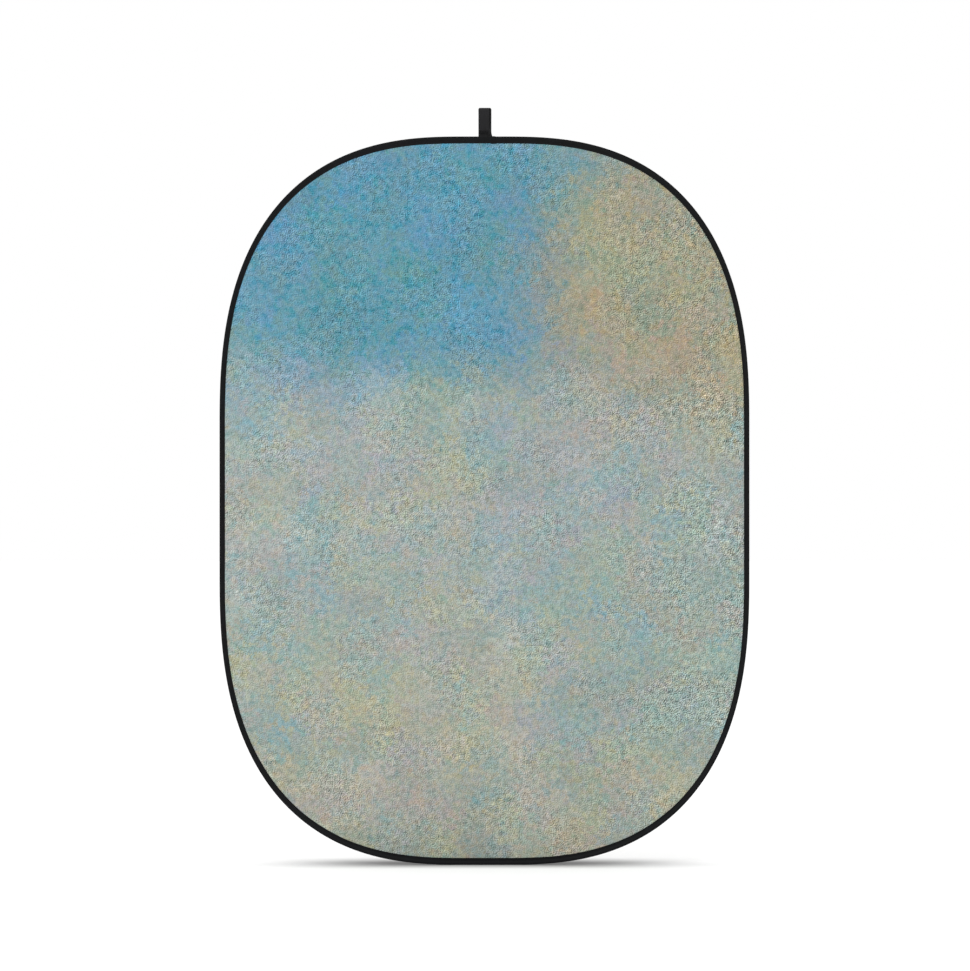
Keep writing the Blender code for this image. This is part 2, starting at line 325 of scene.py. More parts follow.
class Shader:
    """A node material built from short calls. It reads the UV map 'rest', in metres."""

    def __init__(self, name):
        self.material = bpy.data.materials.new(name)
        self.material.use_nodes = True
        self.tree = self.material.node_tree
        self.surface = self.tree.nodes["Principled BSDF"]
        self.place = self.node("ShaderNodeUVMap", uv_map="rest").outputs["UV"]

    def node(self, kind, inputs=None, **settings):
        made = self.tree.nodes.new(kind)
        for key, value in settings.items():
            setattr(made, key, value)
        for key, value in (inputs or {}).items():
            self.feed(made.inputs[key], value)
        return made

    def feed(self, socket, value):
        if isinstance(value, bpy.types.NodeSocket):
            self.tree.links.new(value, socket)
        else:
            socket.default_value = value

    def number(self, operation, a, b=0.0):
        return self.node("ShaderNodeMath", {0: a, 1: b}, operation=operation).outputs[0]

    def vector(self, operation, a, b=(0.0, 0.0, 0.0), result="Vector"):
        made = self.node("ShaderNodeVectorMath", {0: a, 1: b}, operation=operation)
        return made.outputs[result]

    def scaled(self, place, factors):
        return self.vector("MULTIPLY", place, factors)

    def noise(self, place, scale, detail=3.0, roughness=0.55, result="Fac"):
        inputs = {"Vector": place, "Scale": scale, "Detail": detail, "Roughness": roughness}
        made = self.node("ShaderNodeTexNoise", inputs, noise_dimensions="2D")
        return made.outputs[result]

    def remap(self, value, low, high, to_low, to_high, smooth=True):
        inputs = {"Value": value, "From Min": low, "From Max": high, "To Min": to_low, "To Max": to_high}
        kind = "SMOOTHSTEP" if smooth else "LINEAR"
        return self.node("ShaderNodeMapRange", inputs, interpolation_type=kind).outputs["Result"]

    def mix(self, share, a, b, blend="MIX"):
        made = self.node("ShaderNodeMix", data_type="RGBA", blend_type=blend)
        self.feed(made.inputs[0], share)
        self.feed(made.inputs[6], a)
        self.feed(made.inputs[7], b)
        return made.outputs[2]

    def ramp(self, value, stops):
        """A colour ramp through (position, colour) stops."""
        made = self.node("ShaderNodeValToRGB", {"Fac": value})
        elements = made.color_ramp.elements
        while len(elements) < len(stops):
            elements.new(0.5)
        for element, (position, colour) in zip(elements, stops):
            element.position = position
            element.color = colour
        return made.outputs["Color"]

    def axes(self, place=None):
        """The first and second UV values as numbers."""
        split = self.node("ShaderNodeSeparateXYZ", {0: self.place if place is None else place})
        return split.outputs[0], split.outputs[1]

    def ribs(self, value, pitch):
        """A rounded wave from 0 to 1 with this pitch."""
        angle = self.number("MULTIPLY", value, 2 * math.pi / pitch)
        wave = self.number("SINE", angle)
        return self.remap(wave, -1.0, 1.0, 0.0, 1.0, smooth=False)

    def weave(self, place, across, along):
        """Height of a plain weave: over and under threads of two pitches."""
        u, v = self.axes(place)
        warp, weft = self.ribs(u, across), self.ribs(v, along)
        steps = self.number("ADD", self.number("DIVIDE", u, across), self.number("DIVIDE", v, along))
        return self.mix_number(self.ribs(steps, 2.0), warp, weft)

    def mix_number(self, share, a, b):
        made = self.node("ShaderNodeMix", data_type="FLOAT")
        self.feed(made.inputs[0], share)
        self.feed(made.inputs[2], a)
        self.feed(made.inputs[3], b)
        return made.outputs[0]

    def bump(self, height, distance, below=None):
        inputs = {"Height": height, "Distance": distance, "Strength": 1.0}
        if below is not None:
            inputs["Normal"] = below
        return self.node("ShaderNodeBump", inputs).outputs["Normal"]

    def finish(self, colour, roughness, normal=None, **plain):
        self.feed(self.surface.inputs["Base Color"], colour)
        self.feed(self.surface.inputs["Roughness"], roughness)
        if normal is not None:
            self.feed(self.surface.inputs["Normal"], normal)
        for name, value in plain.items():
            self.surface.inputs[name.replace("_", " ")].default_value = value
        return self.material


# The print is a generic painted wash. Only its palette follows the photo: cool above, warm at one
# side, pale below. Each wash: (x, z from the panel's middle, half width, half height, colour).
WASHES = [
    (-0.20, 0.72, 0.90, 0.44, "5799b0"),
    (0.55, 0.60, 0.42, 0.50, "a8a58c"),
    (0.00, -0.10, 0.85, 0.42, "a6b1ab"),
    (0.00, -0.80, 0.70, 0.35, "adb2a4"),
]
WASH_GROUND = "a6b3ab"
WASH_OUTSIDE = 1.4
WASH_INSIDE = 0.55

# Cells that break the washes into dabs: how many to the metre, how ragged they are, how far they pull
# a wash to their own middle, and how far they jump. Then how far the washes' and dabs' edges wander.
CELL_SCALE = 75.0
CELL_FRAY = 0.030
CELL_PULL = 0.65
CELL_JITTER = 0.06
DRIFT = 0.10
WASH_RAGGED = 0.10
DAB_RAGGED = 0.11

# Dabs: (cells to the metre, strength), then what they multiply the colour by, in the order blue, green,
# straw, lilac, light, dark teal, pink.
DAB_SIZES = [(6.0, 0.55), (12.0, 0.75), (37.0, 0.75)]
DAB_TINTS = [
    (0.08, (0.64, 0.80, 0.88, 1.0)),
    (0.24, (0.78, 0.84, 0.77, 1.0)),
    (0.40, (0.88, 0.83, 0.69, 1.0)),
    (0.55, (0.80, 0.77, 0.88, 1.0)),
    (0.70, (0.93, 0.91, 0.87, 1.0)),
    (0.84, (0.66, 0.74, 0.74, 1.0)),
    (0.96, (0.88, 0.77, 0.76, 1.0)),
]

# Grain: noise to the metre of the raised strokes, how far their lit side lies from them, and how much
# the strokes, the dabs of light and dark and the canvas threads count. Then the print's own levels.
STROKE_SCALE = 300.0
STROKE_SIDE = 0.0012
STROKE_GAIN = 2.3
DAB_LIGHT_GAIN = 1.2
CANVAS_GAIN = 0.42
THREADS_ALONG = 60.0
THREADS_ACROSS = 480.0
PRINT_GAIN = 1.36
PRINT_GREEN = 0.98
PRINT_BRIGHT = 0.012
PRINT_CONTRAST = 0.14
PRINT_SATURATION = 0.88
PRINT_WEAVE_PITCH = 0.0011


def wander(shader, place, noise_colour, reach):
    """The place moved by a colour noise, up to half of reach each way."""
    away = shader.vector("SUBTRACT", noise_colour, (0.5,) * 3)
    return shader.vector("ADD", place, shader.scaled(away, (reach,) * 3))


def print_layout(shader):
    """The washes' colour, and the place that the brush dabs read, both with ragged brushed edges."""
    frayed = shader.noise(shader.place, 130.0, 4.0, 0.7, result="Color")
    cells = shader.node("ShaderNodeTexVoronoi", {
        "Vector": wander(shader, shader.place, frayed, CELL_FRAY),
        "Scale": CELL_SCALE,
    }, voronoi_dimensions="2D")
    own = shader.scaled(shader.place, (1 - CELL_PULL,) * 3)
    pulled = shader.scaled(cells.outputs["Position"], (CELL_PULL,) * 3)
    within = shader.vector("ADD", own, pulled)
    place = wander(shader, within, cells.outputs["Color"], CELL_JITTER)
    drift = shader.noise(place, 4.0, 2.0, result="Color")
    ragged = shader.noise(place, 24.0, 6.0, 0.68, result="Color")
    moved = wander(shader, place, drift, DRIFT)
    wash_place = wander(shader, moved, ragged, WASH_RAGGED)
    dab_place = wander(shader, moved, ragged, DAB_RAGGED)
    colour = linear(WASH_GROUND, 1 / LIGHT_GAIN)
    for x, z, width, height, shade in WASHES:
        offset = shader.node("ShaderNodeVectorMath", {
            0: wash_place,
            1: (1 / width, 1 / height, 0.0),
            2: (-x / width, -z / height, 0.0),
        }, operation="MULTIPLY_ADD").outputs["Vector"]
        length = shader.vector("LENGTH", offset, result="Value")
        cover = shader.remap(length, WASH_OUTSIDE, WASH_INSIDE, 0.0, 1.0)
        colour = shader.mix(cover, colour, linear(shade, 1 / LIGHT_GAIN))
    return colour, dab_place


def print_material(name):
    """Printed cloth: a generic painted wash with dabs and canvas grain, on a fine matt weave."""
    shader = Shader(name)
    place = shader.place
    colour, dab_place = print_layout(shader)
    across = shader.axes()[0]
    # Brush dabs: three sizes of ragged cells, each a little towards one of the palette's colours.
    for scale, share in DAB_SIZES:
        inputs = {"Vector": dab_place, "Scale": scale}
        cells = shader.node("ShaderNodeTexVoronoi", inputs, voronoi_dimensions="2D")
        dabbed = shader.ramp(shader.axes(cells.outputs["Color"])[0], DAB_TINTS)
        colour = shader.mix(share, colour, shader.mix(1.0, colour, dabbed, "MULTIPLY"))
    # Thin glazes of teal, lilac, straw and pink that come and go.
    hue = shader.noise(shader.vector("ADD", place, (7.0, 3.0, 0.0)), 30.0, 6.0, 0.72)
    tint = shader.ramp(hue, [
        (0.38, linear("3f93a4")),
        (0.45, linear("9fb0ad")),
        (0.52, linear("b3b0c2")),
        (0.60, linear("c8b47c")),
        (0.67, linear("c08f80")),
    ])
    colour = shader.mix(0.10, colour, tint)
    # Relief: short raised strokes, lit from the upper left, over small dabs of light and dark.
    strokes = shader.noise(place, STROKE_SCALE, 2.0, 0.7)
    lit_side = shader.vector("ADD", place, (STROKE_SIDE, -STROKE_SIDE, 0.0))
    beside = shader.noise(lit_side, STROKE_SCALE, 2.0, 0.7)
    relief = shader.number("SUBTRACT", strokes, beside)
    dab_noise = shader.noise(shader.vector("ADD", place, (3.0, 9.0, 0.0)), 75.0, 5.0, 0.72)
    dabs = shader.number("SUBTRACT", dab_noise, 0.5)
    region = shader.remap(shader.noise(place, 6.0, 2.0), 0.35, 0.7, 0.55, 1.25)
    region = shader.number("MULTIPLY", region, shader.remap(across, 0.25, 0.70, 1.0, 1.5))
    threads_x = shader.noise(shader.scaled(place, (THREADS_ALONG, THREADS_ACROSS, 1.0)), 1.0, 2.0, 0.6)
    threads_z = shader.noise(shader.scaled(place, (THREADS_ACROSS, THREADS_ALONG, 1.0)), 1.0, 2.0, 0.6)
    canvas = shader.number("SUBTRACT", shader.number("ADD", threads_x, threads_z), 1.0)
    relief = shader.number("MULTIPLY", relief, STROKE_GAIN)
    light = shader.number("ADD", relief, shader.number("MULTIPLY", dabs, DAB_LIGHT_GAIN))
    light = shader.number("MULTIPLY", light, region)
    light = shader.number("ADD", light, shader.number("MULTIPLY", canvas, CANVAS_GAIN))
    light = shader.number("MULTIPLY", shader.number("ADD", light, 1.0), PRINT_GAIN)
    green = shader.number("MULTIPLY", light, PRINT_GREEN)
    bright = shader.node("ShaderNodeCombineXYZ", {0: light, 1: green, 2: light}).outputs[0]
    colour = shader.mix(1.0, colour, bright, "MULTIPLY")
    inputs = {"Bright": PRINT_BRIGHT, "Contrast": PRINT_CONTRAST, "Color": colour}
    strong = shader.node("ShaderNodeBrightContrast", inputs).outputs["Color"]
    inputs = {"Saturation": PRINT_SATURATION, "Color": strong}
    colour = shader.node("ShaderNodeHueSaturation", inputs).outputs["Color"]
    weave = shader.weave(place, PRINT_WEAVE_PITCH, PRINT_WEAVE_PITCH)
    roughness = shader.remap(strokes, 0.3, 0.7, 0.78, 0.92)
    normal = shader.bump(weave, 0.00012)
    normal = shader.bump(shader.noise(place, 9.0, 2.0), 0.004, normal)
    return shader.finish(colour, roughness, normal, Specular_IOR_Level=0.12, Sheen_Weight=0.03)


def lining_material(name):
    """Plain light grey polyester: weave, slubs, and a faint shadow of the print behind it."""
    shader = Shader(name)
    place = shader.place
    through = shader.noise(place, 3.2, 3.0, 0.5, result="Color")
    colour = shader.mix(0.10, linear("b9b9b4", 1 / LIGHT_GAIN), through, "OVERLAY")
    slub_x = shader.noise(shader.scaled(place, (14.0, 700.0, 1.0)), 1.0, 2.0)
    slub_z = shader.noise(shader.scaled(place, (700.0, 14.0, 1.0)), 1.0, 2.0)
    slubs = shader.number("ADD", slub_x, slub_z)
    share = shader.remap(slubs, 0.75, 1.25, 0.0, 0.35)
    colour = shader.mix(share, colour, linear("a2a29e", 1 / LIGHT_GAIN))
    soil = shader.remap(shader.noise(place, 2.1, 5.0, 0.6), 0.52, 0.75, 0.0, 0.22)
    colour = shader.mix(soil, colour, linear("a09c92", 1 / LIGHT_GAIN))
    roughness = shader.remap(slubs, 0.7, 1.3, 0.72, 0.9)
    normal = shader.bump(shader.weave(place, 0.0012, 0.0010), 0.00016)
    return shader.finish(colour, roughness, normal, Specular_IOR_Level=0.3, Sheen_Weight=0.08)


def binding_material(name):
    """Black ribbed polyester tape: ribs across it, fuzz, dust on the rim, and a pucker at each stitch."""
    shader = Shader(name)
    along, across = shader.axes()
    patchy = shader.noise(shader.place, 30.0, 4.0, 0.6)
    colour = shader.mix(shader.remap(patchy, 0.35, 0.7, 0.0, 1.0), linear("0a0b0c"), linear("131416"))
    fuzz = shader.remap(shader.noise(shader.place, 900.0, 2.0, 0.6), 0.60, 0.80, 0.0, 0.5)
    colour = shader.mix(fuzz, colour, linear("2a2b2e"))
    rim = shader.remap(shader.number("ABSOLUTE", across), 0.0, 0.008, 0.35, 0.0)
    dust = shader.remap(shader.noise(shader.place, 55.0, 4.0, 0.7), 0.45, 0.65, 0.0, 1.0)
    worn = shader.number("MULTIPLY", rim, dust)
    colour = shader.mix(worn, colour, linear("2c2d30"))
    rib = shader.ribs(along, 0.0011)
    thread = shader.ribs(across, 0.00045)
    rib_height = shader.number("MULTIPLY", rib, 0.7)
    height = shader.number("ADD", rib_height, shader.number("MULTIPLY", thread, 0.3))
    normal = shader.bump(height, 0.00022)
    uneven = shader.noise(shader.place, 90.0, 2.0)
    puckers = shader.number("MULTIPLY", shader.ribs(along, STITCH_PITCH), uneven)
    normal = shader.bump(puckers, 0.00035, normal)
    roughness = shader.remap(patchy, 0.3, 0.7, 0.62, 0.82)
    return shader.finish(colour, roughness, normal, Specular_IOR_Level=0.12, Sheen_Weight=0.015)


def webbing_material(name):
    """Black polypropylene webbing: chunky ribs across the strip, warp cords along it, fuzzed edges."""
    shader = Shader(name)
    along, across = shader.axes()
    cords = shader.ribs(across, 0.0022)
    ribs = shader.ribs(along, 0.0013)
    patchy = shader.noise(shader.place, 120.0, 4.0, 0.65)
    colour = shader.mix(shader.remap(patchy, 0.3, 0.7, 0.0, 1.0), linear("151516"), linear("202022"))
    colour = shader.mix(shader.number("MULTIPLY", cords, 0.35), colour, linear("0c0c0d"))
    fuzz = shader.remap(shader.noise(shader.place, 1100.0, 2.0), 0.62, 0.8, 0.0, 0.5)
    colour = shader.mix(fuzz, colour, linear("3c3c3e"))
    rib_height = shader.number("MULTIPLY", ribs, 0.6)
    height = shader.number("ADD", rib_height, shader.number("MULTIPLY", cords, 0.4))
    normal = shader.bump(height, 0.0004)
    roughness = shader.remap(patchy, 0.3, 0.7, 0.5, 0.7)
    return shader.finish(colour, roughness, normal, Specular_IOR_Level=0.18, Sheen_Weight=0.03)


def thread_material(name):
    """Black polyester thread, with its twist."""
    shader = Shader(name)
    along, across = shader.axes()
    strands = shader.ribs(shader.number("ADD", along, across), THREAD_TWIST)
    colour = shader.mix(strands, linear("060607"), linear("141416"))
    normal = shader.bump(strands, 0.00008)
    roughness = shader.remap(shader.noise(shader.place, 300.0, 2.0), 0.3, 0.7, 0.4, 0.6)
    return shader.finish(colour, roughness, normal, Specular_IOR_Level=0.15)


def steel_material(name, base, dull):
    """Brushed steel strip: fine scratches along it and a few dull patches."""
    shader = Shader(name)
    scratches = shader.noise(shader.scaled(shader.place, (40.0, 4000.0, 1.0)), 1.0, 3.0, 0.7)
    stains = shader.remap(shader.noise(shader.place, 60.0, 4.0), 0.5, 0.7, 0.0, 0.6)
    colour = shader.mix(shader.remap(scratches, 0.35, 0.65, 0.0, 0.4), linear(base), linear(dull))
    colour = shader.mix(stains, colour, linear(dull))
    roughness = shader.remap(scratches, 0.3, 0.7, 0.28, 0.5)
    normal = shader.bump(scratches, 0.00003)
    return shader.finish(colour, roughness, normal, Metallic=1.0)


# ---------------------------------------------------------------- cloths


CLOTH_EDGE = np.array([
    (x - CLOTH_INSET * nx, z - CLOTH_INSET * nz) for x, z, nx, nz in RIGHT_SIDE[:, 1:]
])


def cloth_half_width(height):
    """Half the cloth's width at this height above the panel's middle."""
    return float(np.interp(-height, -CLOTH_EDGE[:, 1], CLOTH_EDGE[:, 0]))


UPPER_EDGE = RIGHT_SIDE[RIGHT_SIDE[:, 2] >= STRAIGHT_SIDE_HALF][:, 1:3]


def row_clearances(xs, height, half):
    """About how far inside the rim each point of a row is."""
    _, _, nx, nz = rim_at(rim_distance(PANEL_Z + height))
    far = 1.0
    side = (half + CLOTH_INSET - np.abs(xs)) * abs(nx) if abs(nx) > 0.05 else np.full(len(xs), far)
    tops = np.interp(np.abs(xs), UPPER_EDGE[:, 0], UPPER_EDGE[:, 1])
    lift = (tops - abs(height)) * abs(nz) if abs(nz) > 0.05 else np.full(len(xs), far)
    return np.maximum(np.minimum(side, lift), 0.0)


def ripple(x, height, clear):
    """How far the stretched cloths lie off flat: slow waves, and short puckers beside the seam."""
    rise = min(max((clear - 0.020) / 0.050, 0.0), 1.0)
    rise = rise * rise * (3 - 2 * rise)
    slow = noise.noise(Vector((x * 3.1, height * 2.3, 1.0)))
    drag = noise.noise(Vector(((x + height) * 5.5, (x - height) * 1.6, 6.0)))
    near_seam = max(0.0, 1.0 - abs(clear - 0.045) / 0.035)
    pucker = noise.noise(Vector((x * 26.0, height * 26.0, 10.0))) if near_seam else 0.0
    return rise * (0.0016 * slow + 0.0010 * drag) + near_seam * 0.0004 * pucker


def cloth_rows(piece):
    """The heights of a piece's rows above the panel's middle, from the top down."""
    top = CLOTH_EDGE[0, 1]
    edge_steps = [0.0, 0.002, 0.004, 0.008]
    if piece == 0:
        low = CUTS[0] - PANEL_Z
        head = [top - step for step in edge_steps]
        return head + list(steps_between(low, head[-1], CLOTH_ROW)[::-1][1:])
    if piece == PIECES - 1:
        high = CUTS[-1] - PANEL_Z
        foot = [-top + step for step in reversed(edge_steps)]
        return list(steps_between(foot[0], high, CLOTH_ROW)[::-1][:-1]) + foot
    high, low = CUTS[piece - 1] - PANEL_Z, CUTS[piece] - PANEL_Z
    return list(steps_between(low, high, CLOTH_ROW)[::-1])


def cloth_grid(piece):
    """Rows of (x, height, depth, clearance) that both cloths of a numbered piece share."""
    shares = np.linspace(-1.0, 1.0, CLOTH_COLUMNS + 1)
    shares = 1.2 * shares - 0.2 * shares**3
    grid = []
    for height in cloth_rows(piece):
        half = cloth_half_width(height)
        xs = shares * half
        row = []
        for x, clear in zip(xs.tolist(), row_clearances(xs, height, half).tolist()):
            row.append((x, height, ripple(x, height, clear), clear))
        grid.append(row)
    return grid


def cloth_piece(name, piece, grid, material, slot, towards):
    """One numbered piece of a cloth. towards is -1 for the printed front and 1 for the lining."""
    rows, uvs, area = [], [], 0.0
    for line in grid:
        row, row_uv = [], []
        for x, height, depth, clear in line:
            loose = min(max((clear - 0.020) / 0.03, 0.0), 1.0)
            own = 0.00025 * loose * (1 + noise.noise(Vector((x * 8, height * 8, 30.0 * towards))))
            row.append((x, PANEL_Y + towards * (CLOTH_FACE + own) + depth, PANEL_Z + height))
            row_uv.append((x, height))
        rows.append(row[::-towards])
        uvs.append(row_uv[::-towards])
    if has_tongue(piece):
        rows.append([(x, y - towards * TUCK, z - TONGUE) for x, y, z in rows[-1]])
        uvs.append([(x, height - TONGUE) for x, height in uvs[-1]])
    heights = [line[0][1] for line in grid]
    halves = [cloth_half_width(height) for height in heights]
    for index in range(len(heights) - 1):
        area += (halves[index] + halves[index + 1]) * (heights[index] - heights[index + 1])
    shape = Shape()
    shape.grid(rows, uvs)
    obj = shape.piece(f"{name}_{piece:02d}", material, slot)
    attach(obj, piece, name)


# ---------------------------------------------------------------- binding, hoop and stitches


def tape_section(reach, lift=0.0):
    """(inset, depth) points of the tape's outer face, from its front hem round the rim to its back hem."""
    half = [
        (0.0, 0.0),
        (0.0, 0.0026),
        (0.0, 0.0046),
        (0.0002, 0.0053),
        (0.0007, 0.0058),
        (0.0016, 0.0060),
        (0.0034, 0.0060),
        (0.0052, 0.0058),
        (0.0070, 0.0050),
        (0.0090, 0.0037),
        (0.0108, 0.0026),
        (0.0121, 0.00210),
        (STITCH_INSET, STITCH_BED),
        (0.0139, 0.00195),
        (reach - 0.0004, 0.0019),
        (reach, 0.0016),
        (reach, 0.0011),
        (reach - 0.0006, 0.00085),
        (reach - 0.0030, 0.00085),
    ]
    outer = []
    for inset, depth in half[:-3]:
        outer.append((inset, depth + lift) if inset > 0.001 else (inset - lift, depth))
    half = outer + half[-3:]
    return [(inset, -depth) for inset, depth in reversed(half)] + half[1:]


def tape_reach(distance):
    """The visible width of the tape: a little wider at the top and bottom, and never quite straight."""
    nz = abs(rim_at(distance)[3])
    width = TAPE_WIDTH_SIDE + (TAPE_WIDTH_END - TAPE_WIDTH_SIDE) * nz**2
    return width + 0.00035 * edge_noise(distance % RIM_LENGTH, 70.0, 4.0)


def section_distances(section):
    """Each point's distance along the section from the rim's middle, negative at the front."""
    total = [0.0]
    for (a, b), (c, d) in zip(section, section[1:]):
        total.append(total[-1] + math.hypot(c - a, d - b))
    middle = total[len(total) // 2]
    return [value - middle for value in total]


def tape_rows(distances, lifts=None):
    """Rows of points and UVs of the tape at these rim distances."""
    rows, uvs = [], []
    for index, distance in enumerate(distances):
        lift = lifts[index] if lifts else 0.0
        section = tape_section(tape_reach(distance) + lift, lift)
        spread = section_distances(section)
        x, z, nx, nz = rim_at(distance)
        row = []
        for inset, depth in section:
            row.append((x - inset * nx, PANEL_Y + depth, PANEL_Z + z - inset * nz))
        rows.append(row)
        uvs.append([(distance, value) for value in spread])
    return rows, uvs


def binding_piece(piece, material):
    shape = Shape()
    for side, (start, end) in enumerate(runs_of(piece)):
        distances = list(steps_between(start, end, TAPE_STEP))
        lifts = [0.0] * len(distances)
        if has_tongue(piece) and side == 0:
            distances, lifts = distances + [end + TONGUE], lifts + [-TUCK]
        elif has_tongue(piece):
            distances, lifts = [start - TONGUE] + distances, [-TUCK] + lifts
        shape.grid(*tape_rows(distances, lifts))
    obj = shape.piece(f"binding_{piece:02d}", material, "binding_tape")
    attach(obj, piece, "binding", "left_binding", "right_binding")


def lap_piece(material):
    """The tape's turned-under end, lapped over its start beside the loop."""
    low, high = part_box("binding_lap")
    turn = 0.0012
    distances = [low.x, low.x + 0.0004, low.x + turn, low.x + 0.004, high.x - 0.004,
                 high.x - turn, high.x - 0.0004, high.x]
    lifts = [0.0001, 0.0006, 0.0008, 0.0009, 0.0009, 0.0008, 0.0006, 0.0001]
    shape = Shape()
    shape.grid(*tape_rows(distances, lifts))
    obj = shape.piece("binding_lap_end", material, "binding_tape")
    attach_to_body(obj, "top")
    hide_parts("binding_lap")


def hoop_rows(distances, extra=None):
    """Closed rows of the steel strip's section at these rim distances."""
    wide, thick, cut = HOOP_HALF_WIDTH, HOOP_HALF_THICKNESS, 0.0002
    section = [
        (-thick, wide - cut),
        (-thick + cut, wide),
        (thick - cut, wide),
        (thick, wide - cut),
        (thick, -wide + cut),
        (thick - cut, -wide),
        (-thick + cut, -wide),
        (-thick, -wide + cut),
    ]
    spread = [0.0]
    for (a, b), (c, d) in zip(section, section[1:] + section[:1]):
        spread.append(spread[-1] + math.hypot(c - a, d - b))
    rows, uvs = [], []
    for index, distance in enumerate(distances):
        step = extra[index] if extra else 0.0
        rows.append([panel_point(distance, HOOP_INSET + step + inset, depth) for inset, depth in section])
        uvs.append([(distance, value) for value in spread])
    return rows, uvs


def hoop_piece(piece, material):
    """The sprung hoop. In the bottom piece its two ends overlap in the crimped sleeve."""
    shape = Shape()
    if piece < PIECES - 1:
        for start, end in runs_of(piece):
            shape.grid(*hoop_rows(steps_between(start, end, HOOP_STEP)), closed=True)
    else:
        (start, end), = runs_of(piece)
        middle = RIM_LENGTH / 2
        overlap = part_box("bottom_left_hoop")[1].x
        second = 2 * HOOP_HALF_THICKNESS + 0.0003
        from_right = list(steps_between(start, middle - 0.055, HOOP_STEP))
        stepped = [middle - 0.050, middle - 0.036, middle, middle + overlap]
        for distances, extra in (
            (from_right + stepped, [0.0] * len(from_right) + [0.0, second, second, second]),
            (list(steps_between(middle - overlap, end, HOOP_STEP)), None),
        ):
            first = len(shape.vertices)
            rows, uvs = hoop_rows(distances, extra)
            shape.grid(rows, uvs, closed=True)
            last = len(shape.vertices) - len(rows[0])
            if extra:
                shape.cap(last, len(rows[0]), uvs[-1][0], False)
            else:
                shape.cap(first, len(rows[0]), uvs[0][0], True)
    obj = shape.piece(f"hoop_{piece:02d}", material, "spring_steel")
    attach(obj, piece, "hoop", "left_hoop", "right_hoop")


def stitch_piece(piece, material):
    """The two rows of seam stitches, front and back: one short arc of thread for each stitch."""
    shape = Shape()
    count = int(round(RIM_LENGTH / STITCH_PITCH))
    pitch = RIM_LENGTH / count
    for start, end in runs_of(piece):
        first, last = math.ceil(start / pitch), math.ceil(end / pitch)
        for index in range(first, last):
            begin = index * pitch
            slip = 0.00018 * noise.noise(Vector((index * 0.37, 2.0, 8.0)))
            for side in (-1, 1):
                points = []
                for share, height in STITCH_ARC:
                    depth = side * (STITCH_BED + height)
                    points.append(panel_point(begin + share * pitch, STITCH_INSET + slip, depth))
                shape.tube(points, 5, THREAD_RADIUS, Vector((0, side, 0)), begin)
    attach(shape.piece(f"stitches_{piece:02d}", material, "thread"), piece)


# ---------------------------------------------------------------- hanging loop


def tail_base(rise):
    """How far back the middle of the two plies lies at this height above the rim."""
    behind = [(0.0, 0.0060), (0.0052, 0.0060), (0.0090, 0.0038), (0.0124, 0.0021), (0.0300, 0.0021)]
    surface = float(np.interp(-rise, [d for d, _ in behind], [y for _, y in behind]))
    return PANEL_Y + surface + 0.0003 + WEBBING_THICKNESS if rise < 0 else 0.0


def half_gap(rise):
    """Half the distance between the middles of the two plies at this height above the rim."""
    crown = LOOP_RISE - WEBBING_THICKNESS / 2 - LOOP_RADIUS
    spread = min(max((rise - TACK_HIGH) / (crown - TACK_HIGH), 0.0), 1.0)
    return PLY_HALF + (LOOP_RADIUS - PLY_HALF) * math.sin(spread * math.pi / 2)


def loop_path():
    """(y, z, sideways) points of the webbing: up the back ply, over the crown and down the front ply."""
    crown = LOOP_RISE - WEBBING_THICKNESS / 2 - LOOP_RADIUS
    rises = list(np.linspace(-TAIL_DROP, -0.0005, 14)) + list(np.linspace(0.0015, crown, 34))
    back, front = [], []
    for rise in rises:
        lean = 0.0034 * max(0.0, 1.0 - max(rise, 0.0) / 0.016) ** 2
        sideways = LOOP_BACK_X + 0.0010 * (rise < 0) + lean
        back.append((tail_base(rise) + half_gap(rise), RIM_Z + rise, sideways))
        front.append((tail_base(rise) - half_gap(rise), RIM_Z + rise, LOOP_FRONT_X))
    arc = []
    for step in range(1, 18):
        angle = math.pi * step / 18
        sideways = LOOP_BACK_X + (LOOP_FRONT_X - LOOP_BACK_X) * (1 - math.cos(angle)) / 2
        arc.append((LOOP_RADIUS * math.cos(angle), RIM_Z + crown + LOOP_RADIUS * math.sin(angle), sideways))
    return back + arc + front[::-1]


